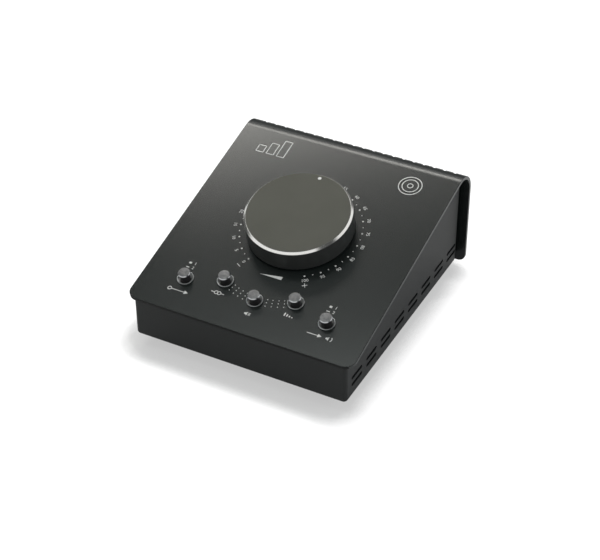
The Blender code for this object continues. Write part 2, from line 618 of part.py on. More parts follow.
def make_volume_control():
    """Knob, pointer, grub screw, shaft, potentiometer and its nut."""
    axis = (0, KNOB_DISTANCE, 0)
    bore_top = KNOB_TOP - KNOB_ROOF
    crown = KNOB_TOP - KNOB_CROWN
    inside = KNOB_RADIUS - KNOB_SKIRT_WALL
    knob = add_object("volume_knob", turned([
        (0, bore_top), (SHAFT_BORE, bore_top), (SHAFT_BORE, KNOB_HUB_LIFT),
        (KNOB_HUB_RADIUS, KNOB_HUB_LIFT), (KNOB_HUB_RADIUS, crown), (inside, crown),
        (inside, KNOB_RUNNING_GAP), (KNOB_RADIUS, KNOB_RUNNING_GAP),
        (KNOB_RADIUS, KNOB_TOP - KNOB_CHAMFER), (KNOB_RADIUS - KNOB_CHAMFER, KNOB_TOP),
        (0, KNOB_TOP)], KNOB_STEPS), KNOB_METAL, panel, axis)

    pointer_place = (0, KNOB_DISTANCE + KNOB_RADIUS - POINTER_EDGE_INSET, 0)
    pointer_bottom = KNOB_TOP - POINTER_THICKNESS
    add_object("knob_pointer", turned(rod_profile(POINTER_RADIUS, pointer_bottom, KNOB_TOP),
                                      BORE_STEPS), POINTER_PAINT, panel, pointer_place)
    dimple = rod_profile(POINTER_RADIUS + FIT_GAP, pointer_bottom - FIT_GAP,
                         KNOB_TOP + CUT_OVERRUN)
    combine(knob, add_tool("pointer_dimple", turned(dimple, BORE_STEPS), panel, pointer_place))

    flat_radius = SHAFT_RADIUS - SHAFT_FLAT_DEPTH
    screw_place = (0, KNOB_DISTANCE, (KNOB_HUB_LIFT + crown) / 2)
    screw = rod_profile(GRUB_SCREW_RADIUS, flat_radius + FIT_GAP, KNOB_HUB_RADIUS)
    add_object("knob_grub_screw", lay_along_y(turned(screw, BORE_STEPS)), ZINC, panel,
               screw_place)
    drilled = rod_profile(GRUB_SCREW_RADIUS + FIT_GAP, flat_radius, KNOB_RADIUS + CUT_OVERRUN)
    combine(knob, add_tool("grub_screw_hole", lay_along_y(turned(drilled, BORE_STEPS)), panel,
                           screw_place))

    pot_bottom = -BOARD_TOP_DEPTH
    bore_bottom = pot_bottom + POT_FLOOR
    shaft_top = bore_top - FIT_GAP
    shaft = add_object("pot_shaft", turned(rod_profile(SHAFT_RADIUS, bore_bottom + FIT_GAP,
                                                       shaft_top), ROUND_STEPS),
                       ZINC, panel, axis)
    past = SHAFT_RADIUS + CUT_OVERRUN
    flat = box((-past, flat_radius, KNOB_HUB_LIFT), (past, past, shaft_top + CUT_OVERRUN))
    combine(shaft, add_tool("shaft_flat", flat, panel, axis))

    pot_top = -(COVER_SHEET + FIT_GAP)
    add_object("volume_pot", turned([
        (0, pot_bottom), (POT_RADIUS, pot_bottom), (POT_RADIUS, pot_top),
        (BUSHING_RADIUS, pot_top), (BUSHING_RADIUS, BUSHING_RISE), (SHAFT_BORE, BUSHING_RISE),
        (SHAFT_BORE, bore_bottom), (0, bore_bottom)], KNOB_STEPS // 2), ZINC, panel, axis)
    add_object("pot_nut", hexagon_nut(BUSHING_RADIUS + FIT_GAP, POT_NUT_WALL,
                                      POT_NUT_THICKNESS, FIT_GAP), NICKEL, panel, axis)


def cap_profile():
    """Button cap: neck, flare, straight head, rounded edge and a shallow dish."""
    edge = arc((CAP_HEAD_RADIUS - CAP_EDGE_RADIUS, CAP_TOP - CAP_EDGE_RADIUS), CAP_EDGE_RADIUS,
               0, math.pi / 2, 2)
    neck = CAP_HEAD_RADIUS - CAP_NECK_INSET
    head_bottom = CAP_TOP - CAP_HEAD_HEIGHT
    return [(0, -CAP_FOOT), (neck, -CAP_FOOT), (neck, head_bottom),
            (CAP_HEAD_RADIUS, head_bottom + CAP_FLARE), *edge, (0, CAP_TOP - CAP_DISH)]


def make_buttons():
    """Five push buttons: cap, bezel, plunger and switch body."""
    tail = -(COVER_SHEET + BEZEL_TAIL)
    lip = BEZEL_HOLE + BEZEL_LIP
    bezel = [(BEZEL_BORE, tail), (BEZEL_BARREL, tail), (BEZEL_BARREL, FIT_GAP), (lip, FIT_GAP),
             (lip, FIT_GAP + BEZEL_FLANGE), (BEZEL_BORE, FIT_GAP + BEZEL_FLANGE)]
    half = PLUNGER_SIDE / 2
    socket = half + FIT_GAP
    body = SWITCH_SIDE / 2
    body_bottom = -BOARD_TOP_DEPTH
    well_bottom = body_bottom + SWITCH_FLOOR
    plunger_bottom = well_bottom + PLUNGER_ROOM + BUTTON_TRAVEL
    plunger_top = CAP_TOP - CAP_CROWN - FIT_GAP
    for name, (x, s) in BUTTONS.items():
        place = (x, s, 0)
        cap = add_object(name + "_button_cap", turned(cap_profile(), ROUND_STEPS), CAP_PLASTIC,
                         panel, place)
        cap_socket = box((-socket, -socket, -CAP_FOOT - CUT_OVERRUN),
                         (socket, socket, CAP_TOP - CAP_CROWN))
        combine(cap, add_tool(name + "_cap_socket", cap_socket, panel, place))
        add_object(name + "_button_bezel", turned(bezel, ROUND_STEPS), BEZEL_METAL, panel, place)
        add_object(name + "_switch_plunger", box((-half, -half, plunger_bottom),
                                                 (half, half, plunger_top)),
                   WHITE_PLASTIC, panel, place)
        switch = add_object(name + "_switch_body", box((-body, -body, body_bottom),
                                                       (body, body, -SWITCH_TOP_DEPTH)),
                            BLACK_PLASTIC, panel, place)
        well = box((-socket, -socket, well_bottom),
                   (socket, socket, -SWITCH_TOP_DEPTH + CUT_OVERRUN))
        combine(switch, add_tool(name + "_switch_well", well, panel, place))


def make_main_board(tools):
    """Circuit board under the panel, with its two screws."""
    half = BUTTON_OUTER_X + SWITCH_SIDE / 2 + MAIN_BOARD_SIDE_EDGE
    board = add_object("main_board", box((-half, MAIN_BOARD_FRONT, -BOARD_UNDERSIDE),
                                         (half, MAIN_BOARD_REAR, -MAIN_BOARD_DEPTH)),
                       BOARD_LAMINATE, panel)
    combine(board, tools["board_screw_holes"])
    head_top = -(BOARD_UNDERSIDE + FIT_GAP)
    screw = screw_profile(BOARD_SCREW_RADIUS, BOARD_SCREW_HEAD_RADIUS, head_top,
                          head_top - BOARD_SCREW_HEAD,
                          BOARD_SCREW_REACH - MAIN_BOARD_DEPTH)
    for side, x in (("left", -STANDOFF_X), ("right", STANDOFF_X)):
        add_object("board_screw_" + side, turned(screw, BORE_STEPS), ZINC, panel,
                   (x, STANDOFF_DISTANCE, 0))


def make_jacks():
    """Eight jacks through both rear sheets, with nuts outside and a board inside."""
    length = JACK_END_Y - JACK_FACE_Y
    half_width = JACK_BODY_WIDTH / 2
    half_height = JACK_BODY_HEIGHT / 2
    bushing = rod_profile(JACK_BUSHING_RADIUS, -JACK_BODY_LENGTH / 2, length)
    bore = rod_profile(JACK_BORE_RADIUS, JACK_END_WALL - JACK_BODY_LENGTH, length + CUT_OVERRUN)
    nut_start = FLANGE_Y + FIT_GAP - JACK_FACE_Y
    for z, use in zip(jack_rows(), ("monitor", "source")):
        labels = [f"{use}_{number}_{side}" for number in (1, 2) for side in ("left", "right")]
        for x, label in zip(jack_columns(), labels):
            place = (x, JACK_FACE_Y, z)
            jack = add_object(label + "_jack", box((-half_width, -JACK_BODY_LENGTH, -half_height),
                                                   (half_width, 0, half_height)),
                              BLACK_PLASTIC, at=place)
            tube = lay_along_y(turned(bushing, ROUND_STEPS))
            combine(jack, add_tool(label + "_bushing", tube, at=place), "UNION")
            drilled = lay_along_y(turned(bore, ROUND_STEPS))
            combine(jack, add_tool(label + "_bore", drilled, at=place))
            nut = hexagon_nut(JACK_BUSHING_HOLE, JACK_NUT_WALL, JACK_NUT_THICKNESS, nut_start)
            add_object(label + "_jack_nut", lay_along_y(nut), NICKEL, at=place)
    low, high = jack_rows()
    half = jack_columns()[-1] + half_width + REAR_BOARD_SIDE_EDGE
    reach = half_height + REAR_BOARD_EDGE
    add_object("rear_board", box((-half, REAR_BOARD_Y - BOARD_THICKNESS, low - reach),
                                 (half, REAR_BOARD_Y, high + reach)), BOARD_LAMINATE)


def make_ribbon():
    """Flat cable that drops from the main board and runs back to the rear board."""
    half = RIBBON_WIDTH / 2 + PLUG_MARGIN
    plug_s = MAIN_BOARD_REAR - MAIN_PLUG_INSET
    plug_top = -(BOARD_UNDERSIDE + FIT_GAP)
    plug_end = plug_top - PLUG_HEIGHT
    add_object("ribbon_plug_main", box(
        (-half, plug_s - PLUG_THICKNESS / 2, plug_end),
        (half, plug_s + PLUG_THICKNESS / 2, plug_top)), BLACK_PLASTIC, panel)
    rear_face = REAR_BOARD_Y - BOARD_THICKNESS - FIT_GAP
    rear_z = TRAY_FLOOR_Z + REAR_PLUG_RISE
    add_object("ribbon_plug_rear", box(
        (-half, rear_face - PLUG_HEIGHT, rear_z - PLUG_THICKNESS / 2),
        (half, rear_face, rear_z + PLUG_THICKNESS / 2)), BLACK_PLASTIC)

    sine = math.sin(COVER_SLOPE_ANGLE)
    cosine = math.cos(COVER_SLOPE_ANGLE)
    start_drop = plug_end - FIT_GAP
    start = (FRONT_Y + plug_s * cosine - start_drop * sine,
             PANEL_EDGE_Z + plug_s * sine + start_drop * cosine)
    end = (rear_face - PLUG_HEIGHT - FIT_GAP, rear_z)
    span = math.dist(start, end)
    leave = (start[0] + sine * span / 2, start[1] - cosine * span / 2)
    arrive = (end[0] - span / 2, end[1])
    upper = []
    lower = []
    for step in range(RIBBON_STEPS + 1):
        t = step / RIBBON_STEPS
        u = 1 - t
        weights = (u ** 3, 3 * u * u * t, 3 * u * t * t, t ** 3)
        slopes = (-u * u, u * u - 2 * u * t, 2 * u * t - t * t, t * t)
        corners = (start, leave, arrive, end)
        y, z = (sum(w * c[i] for w, c in zip(weights, corners)) for i in (0, 1))
        dy, dz = (sum(w * c[i] for w, c in zip(slopes, corners)) for i in (0, 1))
        reach = RIBBON_THICKNESS / 2 / math.hypot(dy, dz)
        upper.append((y - dz * reach, z + dy * reach))
        lower.append((y + dz * reach, z - dy * reach))
    add_object("ribbon_cable", prism_x(upper + lower[::-1], RIBBON_WIDTH / 2), RIBBON_PLASTIC)


shared_tools = {
    "pillars": pillar_tool(),
    "standoffs": standoff_tool(),
    "panel_holes": panel_hole_tool(),
    "rear_vents": rear_vent_tool(),
    "jack_holes": jack_hole_tool(),
    "board_screw_holes": board_screw_hole_tool(),
    "foot_screw_holes": foot_screw_hole_tool(),
}
make_top_cover(shared_tools)
make_chassis_tray(shared_tools)
make_feet()
make_volume_control()
make_buttons()
make_main_board(shared_tools)
make_jacks()
make_ribbon()
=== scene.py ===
# Desktop monitor controller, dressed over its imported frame. Metres, +Z up, front towards -Y.
# The sections follow the object as it is put together: tray, feet, rear board and jacks,
# main board with its controls, flat cable, cover, bezels, caps, knob, print, then the studio.
import math

import bmesh
import bpy
from mathutils import Matrix, Vector


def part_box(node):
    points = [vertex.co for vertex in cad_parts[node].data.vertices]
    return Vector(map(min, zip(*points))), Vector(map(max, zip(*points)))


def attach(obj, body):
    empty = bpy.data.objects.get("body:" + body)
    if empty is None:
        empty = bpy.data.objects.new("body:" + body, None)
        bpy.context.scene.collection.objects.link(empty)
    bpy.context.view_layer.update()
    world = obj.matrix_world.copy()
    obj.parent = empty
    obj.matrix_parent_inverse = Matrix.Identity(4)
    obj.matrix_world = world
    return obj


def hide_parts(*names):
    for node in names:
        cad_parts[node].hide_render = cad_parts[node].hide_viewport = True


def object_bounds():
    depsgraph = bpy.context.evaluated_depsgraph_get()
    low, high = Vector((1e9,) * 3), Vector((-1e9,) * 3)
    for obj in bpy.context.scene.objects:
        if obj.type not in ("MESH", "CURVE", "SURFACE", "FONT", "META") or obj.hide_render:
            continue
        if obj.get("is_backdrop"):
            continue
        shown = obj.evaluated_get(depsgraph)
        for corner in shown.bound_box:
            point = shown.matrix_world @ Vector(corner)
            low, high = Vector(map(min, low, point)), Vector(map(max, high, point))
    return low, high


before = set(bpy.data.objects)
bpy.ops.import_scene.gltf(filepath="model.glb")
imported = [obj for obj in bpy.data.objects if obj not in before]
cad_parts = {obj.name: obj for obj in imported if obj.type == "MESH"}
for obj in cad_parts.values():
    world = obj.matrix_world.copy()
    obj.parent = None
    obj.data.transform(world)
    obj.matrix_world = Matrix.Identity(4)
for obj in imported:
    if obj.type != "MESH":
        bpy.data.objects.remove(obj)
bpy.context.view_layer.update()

# Tray: floor, front, sides and rear wall folded from 1.5 mm steel, black powder coat.
# Its walls stop just under the sloping cover. Two rows of round-ended vent slots are
# punched through each side, and two threaded bosses for the rear feet stand on its floor.
GAP = 0.0003
SLOPE = math.radians(14.33)
COVER_SHEET = 0.002
BEND_RADIUS = 0.0134
cover_low, cover_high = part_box("top_cover")
tray_low, tray_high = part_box("chassis_tray")
FRONT_Y = cover_low.y
FLANGE_Y = cover_high.y
EDGE_Z = tray_low.z + 0.02578
BEND_Y = FLANGE_Y - BEND_RADIUS
BEND_Z = EDGE_Z + (BEND_Y - FRONT_Y) * math.tan(SLOPE) - BEND_RADIUS / math.cos(SLOPE)
TRAY_SHEET = 0.0015
TRAY_FLOOR = tray_low.z + TRAY_SHEET
BOSS_RADIUS = 0.003
FOOT_SCREW_HOLE = 0.0018
JACK_HOLE = 0.00505
SIDE_SLOTS = 8
SLOT_ROWS = (0.0079, 0.0123)
JACK_NODES = [f"{use}_{pair}_{side}_jack" for use in ("monitor", "source")
              for pair in (1, 2) for side in ("left", "right")]


def linear(code):
    """sRGB hex colour to the linear RGBA that Blender's sockets take."""
    parts = [int(code[i:i + 2], 16) / 255 for i in (1, 3, 5)]
    return (*[p / 12.92 if p < 0.04045 else ((p + 0.055) / 1.055) ** 2.4 for p in parts], 1)


def add_node(tree, kind, settings=(), **links):
    """One node, with its properties and input values set and its inputs linked."""
    node = tree.nodes.new(kind)
    for key, value in dict(settings).items():
        if isinstance(key, str) and hasattr(node, key):
            setattr(node, key, value)
        else:
            node.inputs[key].default_value = value
    for name, source in links.items():
        tree.links.new(source, node.inputs[name])
    return node


def finish(name, colour, roughness, metallic=0.0, level=0.5):
    """A Principled material with its even values on the shader's own sockets."""
    material = bpy.data.materials.new(name)
    material.use_nodes = True
    tree = material.node_tree
    shader = tree.nodes["Principled BSDF"]
    shader.inputs["Base Color"].default_value = linear(colour)
    shader.inputs["Roughness"].default_value = roughness
    shader.inputs["Metallic"].default_value = metallic
    shader.inputs["Specular IOR Level"].default_value = level
    return material, tree, shader


def grain(tree, shader, size, height, detail=2.0):
    """Bump from noise whose bumps are about one size across and one height deep, in metres."""
    place = add_node(tree, "ShaderNodeTexCoord").outputs["Object"]
    noise = add_node(tree, "ShaderNodeTexNoise", {"Scale": 1 / size, "Detail": detail},
                     Vector=place)
    bump = add_node(tree, "ShaderNodeBump", {"Strength": 1.0, "Distance": height},
                    Height=noise.outputs["Fac"])
    tree.links.new(bump.outputs["Normal"], shader.inputs["Normal"])


def mottle(tree, shader, socket, size, low, high):
    """Slow change of a colour or a roughness over the surface, between two values."""
    place = add_node(tree, "ShaderNodeTexCoord").outputs["Object"]
    noise = add_node(tree, "ShaderNodeTexNoise", {"Scale": 1 / size, "Detail": 3.0}, Vector=place)
    if isinstance(low, str):
        ramp = add_node(tree, "ShaderNodeValToRGB", Fac=noise.outputs["Fac"])
        ramp.color_ramp.elements[0].position = 0.3
        ramp.color_ramp.elements[1].position = 0.7
        ramp.color_ramp.elements[0].color = linear(low)
        ramp.color_ramp.elements[1].color = linear(high)
        tree.links.new(ramp.outputs["Color"], shader.inputs[socket])
    else:
        spread = add_node(tree, "ShaderNodeMapRange", {"From Min": 0.3, "From Max": 0.7,
                                                       "To Min": low, "To Max": high},
                          Value=noise.outputs["Fac"])
        tree.links.new(spread.outputs["Result"], shader.inputs[socket])


def shade(mesh, sharp):
    """Smooth shading that keeps sharp edges and leaves flat faces over 5 cm2 flat."""
    large = 0.0005
    mesh.shade_smooth()
    mesh.set_sharp_from_angle(angle=math.radians(sharp))
    for face in mesh.polygons:
        face.use_smooth = face.area < large


def add_piece(name, shape, *materials, sharp=35):
    """A bmesh turned into a named piece with its normals out."""
    bmesh.ops.recalc_face_normals(shape, faces=shape.faces)
    mesh = bpy.data.meshes.new(name)
    shape.to_mesh(mesh)
    shape.free()
    shade(mesh, sharp)
    for material in materials:
        mesh.materials.append(material)
    piece = bpy.data.objects.new(name, mesh)
    bpy.context.scene.collection.objects.link(piece)
    return piece


def carve(piece, *steps, sharp=35):
    """Join, trim or cut a piece with tool shapes, apply it all and remove the tools."""
    tools = []
    for shape, operation in steps:
        tools.append(add_piece(f"tool_{len(tools)}", shape))
        boolean = piece.modifiers.new(operation, "BOOLEAN")
        boolean.operation = operation
        boolean.solver = "EXACT"
        boolean.object = tools[-1]
    bpy.context.view_layer.update()
    graph = bpy.context.evaluated_depsgraph_get()
    made = bpy.data.meshes.new_from_object(piece.evaluated_get(graph), depsgraph=graph)
    piece.modifiers.clear()
    piece.data = made
    made.name = piece.name
    shade(made, sharp)
    for tool in tools:
        bpy.data.objects.remove(tool)


def round_corners(shape, radius, segments, wanted):
    """Round the edges that a test on their two ends picks out."""
    edges = [edge for edge in shape.edges if wanted(edge.verts[0].co, edge.verts[1].co)]
    bmesh.ops.bevel(shape, geom=edges, offset=radius, offset_type="OFFSET", affect="EDGES",
                    segments=segments, profile=0.5, material=-1)


def soften(shape, width):
    """A small rounding on every edge that turns by more than 50 degrees."""
    limit = math.radians(50)
    edges = [edge for edge in shape.edges if edge.is_manifold and edge.calc_face_angle() > limit]
    bmesh.ops.bevel(shape, geom=edges, offset=width, offset_type="OFFSET", affect="EDGES",
                    segments=2, profile=0.5, material=-1)


def arc(centre, radius, start, end, steps):
    """Points on an arc between two angles, both ends included."""
    turns = [start + (end - start) * step / steps for step in range(steps + 1)]
    return [(centre[0] + radius * math.cos(a), centre[1] + radius * math.sin(a)) for a in turns]


def sweep_x(outline, half, shape=None):
    """A (y, z) outline drawn out along X to both sides of the middle."""
    shape = shape or bmesh.new()
    face = shape.faces.new([shape.verts.new((-half, y, z)) for y, z in outline])
    grown = bmesh.ops.extrude_face_region(shape, geom=[face])["geom"]
    bmesh.ops.translate(shape, vec=(2 * half, 0, 0),
                        verts=[item for item in grown if isinstance(item, bmesh.types.BMVert)])
    return shape


def block(low, high):
    """A box between two corners."""
    shape = bmesh.new()
    size = Vector(high) - Vector(low)
    bmesh.ops.create_cube(shape, size=1)
    bmesh.ops.scale(shape, vec=size, verts=shape.verts)
    bmesh.ops.translate(shape, vec=Vector(low) + size / 2, verts=shape.verts)
    return shape


def rods(places, radius, bottom, top, segments=32):
    """Upright rods at (x, y) places."""
    shape = bmesh.new()
    for x, y in places:
        made = bmesh.ops.create_cone(shape, cap_ends=True, segments=segments, radius1=radius,
                                     radius2=radius, depth=top - bottom)
        bmesh.ops.translate(shape, vec=(x, y, (bottom + top) / 2), verts=made["verts"])
    return shape


def cover_line(depth):
    """Section of the cover at a depth inside its outer face, front to flange end."""
    front = (FRONT_Y + depth * math.sin(SLOPE), EDGE_Z - depth * math.cos(SLOPE))
    bend = arc((BEND_Y, BEND_Z), BEND_RADIUS - depth, math.pi / 2 + SLOPE, 0, 32)
    return [front, *bend, (FLANGE_Y - depth, cover_low.z)]


def tray_block(inset, top):
    """The tray's rounded outside, or its hollow where an inset draws it in."""
    front_corner, rear_corner, floor_bend, upright = 0.0024, 0.005, 0.0018, 0.01
    base = tray_low.z + inset
    shape = block((tray_low.x + inset, tray_low.y + inset, base),
                  (tray_high.x - inset, tray_high.y - inset, top))
    round_corners(shape, front_corner - inset, 8,
                  lambda a, b: abs(a.z - b.z) > upright and a.y < 0)
    round_corners(shape, rear_corner - inset, 8,
                  lambda a, b: abs(a.z - b.z) > upright and a.y > 0)
    floor = base + 0.00001
    round_corners(shape, floor_bend - inset, 6, lambda a, b: a.z < floor and b.z < floor)
    return shape


def jack_places():
    """X and Z of each jack's axis, in the order of their nodes."""
    boxes = [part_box(node) for node in JACK_NODES]
    return [((low.x + high.x) / 2, (low.z + high.z) / 2) for low, high in boxes]


def rear_holes():
    """Cutter for the jacks' holes, through the tray's rear wall and the cover's flange."""
    shape = rods([(x, -z) for x, z in jack_places()], JACK_HOLE, 0.066, 0.08)
    bmesh.ops.rotate(shape, matrix=Matrix.Rotation(-math.pi / 2, 3, "X"), verts=shape.verts)
    return shape


def side_slots():
    """Cutter for the vent slots in both sides, round at both ends."""
    shape = bmesh.new()
    length, half = 0.0121, 0.00105
    first = tray_low.y + 0.00645
    last = tray_high.y - 0.0046 - length
    for column in range(SIDE_SLOTS):
        y = first + (last - first) * column / (SIDE_SLOTS - 1) + half
        for row in SLOT_ROWS:
            z = tray_low.z + row
            outline = arc((y, z), half, math.pi / 2, 3 * math.pi / 2, 8)
            outline += arc((y + length - 2 * half, z), half, -math.pi / 2, math.pi / 2, 8)
            sweep_x(outline, tray_high.x + 0.002, shape)
    return shape


# Powder coat: sprayed polyester powder melted on, satin, with a fine orange-peel skin.
# Its grain is really 0.2 mm and is drawn at 0.4 mm so that it shows. The eye sees near
# black with a soft, slightly speckled sheen that brightens towards the light.
tray_coat, tree, shader = finish("satin_black_powder_coat_steel", "#191b1b", 0.5, level=0.3)
grain(tree, shader, 0.0004, 0.00002)
mottle(tree, shader, "Base Color", 0.02, "#181a1a", "#1a1c1c")

tray = add_piece("tray_shell", tray_block(0, 0.08), tray_coat, sharp=22)
# the walls are trimmed a gap below the cover's underside
roof = cover_line(COVER_SHEET + GAP)
roof = [*roof[:-1], (roof[-1][0], -0.01), (roof[0][0], -0.01)]
foot_nodes = [f"foot_{end}_{side}" for end in ("front", "rear") for side in ("left", "right")]
foot_places = {node: (sum(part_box(node), Vector()) / 2).xy for node in foot_nodes}
rear_feet = [foot_places[node] for node in foot_nodes[2:]]
carve(tray, (tray_block(TRAY_SHEET, 0.09), "DIFFERENCE"), (sweep_x(roof, 0.07), "INTERSECT"),
      (rods(rear_feet, BOSS_RADIUS, TRAY_FLOOR - 0.0007, TRAY_FLOOR + 0.0065), "UNION"),
      (side_slots(), "DIFFERENCE"), (rear_holes(), "DIFFERENCE"),
      (rods(foot_places.values(), FOOT_SCREW_HOLE, 0, TRAY_FLOOR + 0.0058), "DIFFERENCE"),
      sharp=22)
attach(tray, "chassis")
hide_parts("chassis_tray")


# Feet: moulded black rubber, 11 mm across with a rounded sole, each held by a zinc-plated
# pan-head screw that sits up in the foot's recess. The rear pair go into the tray's bosses
# and the front pair through the floor into pillars under the cover, which holds it down.
FOOT_RADIUS = 0.0055
FOOT_TOP = 0.0067
RECESS = 0.0034
RECESS_TOP = 0.0032
HEAD_Z = 0.0029
CROSS_TURN = 0.5


def turned(profile, steps=64):
    """A closed (radius, height) profile spun round Z."""
    shape = bmesh.new()
    corners = [shape.verts.new((radius, 0, height)) for radius, height in profile]
    rim = [shape.edges.new(pair) for pair in zip(corners, corners[1:] + corners[:1])
           if pair[0].co.x or pair[1].co.x]
    bmesh.ops.spin(shape, geom=corners + rim, cent=(0, 0, 0), axis=(0, 0, 1),
                   angle=2 * math.pi, steps=steps, use_merge=True)
    bmesh.ops.remove_doubles(shape, verts=shape.verts, dist=0.000004)
    return shape


def set_down(shape, x, y, z=0):
    """Move a shape to its place."""
    bmesh.ops.translate(shape, vec=(x, y, z), verts=shape.verts)
    return shape


# Moulded natural rubber: matt, slightly dusty black. The spark-eroded grain of its mould
# is really 0.1 mm and is drawn at 0.5 mm so that it shows.
rubber, tree, shader = finish("moulded_black_rubber", "#1c1c1b", 0.8, level=0.35)
grain(tree, shader, 0.0005, 0.00003)
mottle(tree, shader, "Base Color", 0.004, "#181817", "#232322")

# Zinc-plated steel: cool grey, fairly bright, with faint clouding left by the plating.
zinc, tree, shader = finish("zinc_plated_steel", "#c3c5c8", 0.3, 1.0)
mottle(tree, shader, "Base Color", 0.0015, "#b4b7bb", "#cdcfd1")
mottle(tree, shader, "Roughness", 0.0008, 0.22, 0.38)

for node, (x, y) in foot_places.items():
    sole = arc((0.0043, 0.0007), 0.0007, -math.pi / 2, 0, 6)
    foot = add_piece(node + "_rubber", set_down(turned(
        [(RECESS, 0), *sole, (FOOT_RADIUS, FOOT_TOP), (FOOT_SCREW_HOLE, FOOT_TOP),
         (FOOT_SCREW_HOLE, RECESS_TOP), (RECESS, RECESS_TOP)], 48), x, y), rubber)
    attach(foot, "chassis")
    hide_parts(node)
    dome = arc((0, 0.0059), 0.005, math.radians(-57), math.radians(-90), 6)
    screw_node = node.replace("foot", "foot_screw")
    screw = add_piece(screw_node + "_plated", turned(
        [(0, 0.014), (0.0015, 0.014), (0.0015, HEAD_Z), (0.00275, HEAD_Z), *dome], 40), zinc)
    carve(screw, (block((-0.0016, -0.0003, 0), (0.0016, 0.0003, 0.0021)), "DIFFERENCE"),
          (block((-0.0003, -0.0016, 0), (0.0003, 0.0016, 0.0021)), "DIFFERENCE"))
    screw.data.transform(Matrix.Translation((x, y, 0)) @ Matrix.Rotation(CROSS_TURN, 4, "Z"))
    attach(screw, "chassis")
    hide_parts(screw_node)


# Rear board and jacks: a glass-epoxy board carries eight 6.35 mm jacks. Each is a black
# nylon body with a threaded bushing that comes out through the tray's wall and the cover's
# flange, where a nickel-plated hexagon nut pulls it tight. A leaf contact shows in the bore.
JACK_BORE = 0.0032
CREST, ROOT, PITCH, TURNS = 0.00475, 0.00448, 0.0008, 11
NUT_THICK = 0.0024
NUT_HOLE = 0.0049

# Glass-epoxy laminate under green solder mask: glossy, with lighter lines where the copper
# tracks run under the mask on a 2.5 mm grid.
board, tree, shader = finish("green_solder_mask_laminate", "#2f6b3a", 0.35)
place = add_node(tree, "ShaderNodeTexCoord").outputs["Object"]
tracks = add_node(tree, "ShaderNodeTexBrick",
                  {"offset": 0.35, "Scale": 1.0, "Mortar Size": 0.0003, "Brick Width": 0.0125,
                   "Row Height": 0.0025, "Color1": linear("#1d4d2a"),
                   "Color2": linear("#23582f"), "Mortar": linear("#3a7a45")}, Vector=place)
tree.links.new(tracks.outputs["Color"], shader.inputs["Base Color"])

# Moulded nylon: near-black and satin, with the faint grain of its mould, which is finer and
# is drawn at 0.4 mm so that it shows.
nylon, tree, shader = finish("moulded_black_nylon", "#1d1d1e", 0.45)
grain(tree, shader, 0.0004, 0.000012)
mottle(tree, shader, "Roughness", 0.003, 0.4, 0.52)

# Nickel-plated brass: warm and bright, softly clouded, with fine tool marks. They are really
# under 0.1 mm and are drawn at 0.3 mm so that they show.
nickel, tree, shader = finish("nickel_plated_brass", "#cfcac0", 0.2, 1.0)
mottle(tree, shader, "Roughness", 0.0012, 0.14, 0.3)
grain(tree, shader, 0.0003, 0.000004)

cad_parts["rear_board"].data.materials[0] = board
thread = []
for turn in range(TURNS):
    thread += [(CREST, PITCH * turn + 0.0001), (CREST, PITCH * turn + 0.0003),
               (ROOT, PITCH * turn + 0.0006), (ROOT, PITCH * turn + 0.0008)]
bushing = [(0, -0.008), (CREST, -0.008), *thread, (ROOT, 0.009), (0.0043, 0.0092), (0, 0.0092)]
bore = [(0, -0.0148), (JACK_BORE, -0.0148), (JACK_BORE, 0.0087), (0.0038, 0.0094),
        (0.0038, 0.011), (0, 0.011)]
ROD_TO_Y = Matrix.Rotation(-math.pi / 2, 4, "X")
for node, (x, z) in zip(JACK_NODES, jack_places()):
    low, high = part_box(node)
    face = low.y + 0.022
    shape = block((-0.0075, -0.007, -0.022), (0.0075, 0.007, 0))
    soften(shape, 0.0004)
    jack = add_piece(node.replace("_jack", "_socket"), shape, nylon)
    carve(jack, (turned(bushing, 40), "UNION"), (turned(bore, 40), "DIFFERENCE"))
    seat = Matrix.Translation((x, face, z)) @ ROD_TO_Y
    jack.data.transform(seat)
    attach(jack, "chassis")
    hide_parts(node)

    leaf = block((-0.0012, 0.0022, -0.0145), (0.0012, 0.0025, 0.004))
    soften(leaf, 0.0001)
    spring = add_piece(node.replace("_jack", "_contact"), leaf, nickel)
    spring.data.transform(seat)
    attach(spring, "chassis")

    start = FLANGE_Y + GAP - face
    nut_shape = bmesh.new()
    bmesh.ops.create_cone(nut_shape, cap_ends=True, segments=6, radius1=0.00808,
                          radius2=0.00808, depth=NUT_THICK)
    set_down(nut_shape, 0, 0, start + NUT_THICK / 2)
    nut = add_piece(node + "_hex_nut", nut_shape, nickel)
    barrel = [(0, start), (0.0072, start), (0.0081, start + 0.0005), (0.0081, start + 0.0019),
              (0.0072, start + NUT_THICK), (0, start + NUT_THICK)]
    carve(nut, (turned(barrel, 48), "INTERSECT"),
          (rods([(0, 0)], NUT_HOLE, start - 0.001, start + 0.004, 40), "DIFFERENCE"))
    nut.data.transform(seat)
    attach(nut, "chassis")
    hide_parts(node + "_nut")


# Main board under the panel, with five push switches, the volume potentiometer and its two
# screws. All of it is closed in by the cover and seen only through the vent slots, so the
# solids of the frame stay and take their finishes here.

# Moulded acetal: milky white and slightly waxy, for the switch plungers.
acetal, tree, shader = finish("moulded_white_acetal", "#dcdcd6", 0.4)
mottle(tree, shader, "Base Color", 0.002, "#d5d5ce", "#e2e2dd")

BUTTON_NAMES = ("source", "mono", "mute", "dim", "monitor")
INNER = {"main_board": board, "volume_pot": zinc, "pot_shaft": zinc, "pot_nut": nickel,
         "board_screw_left": zinc, "board_screw_right": zinc}
for name in BUTTON_NAMES:
    INNER[name + "_switch_body"] = nylon
    INNER[name + "_switch_plunger"] = acetal
for node, material in INNER.items():
    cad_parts[node].data.materials[0] = material


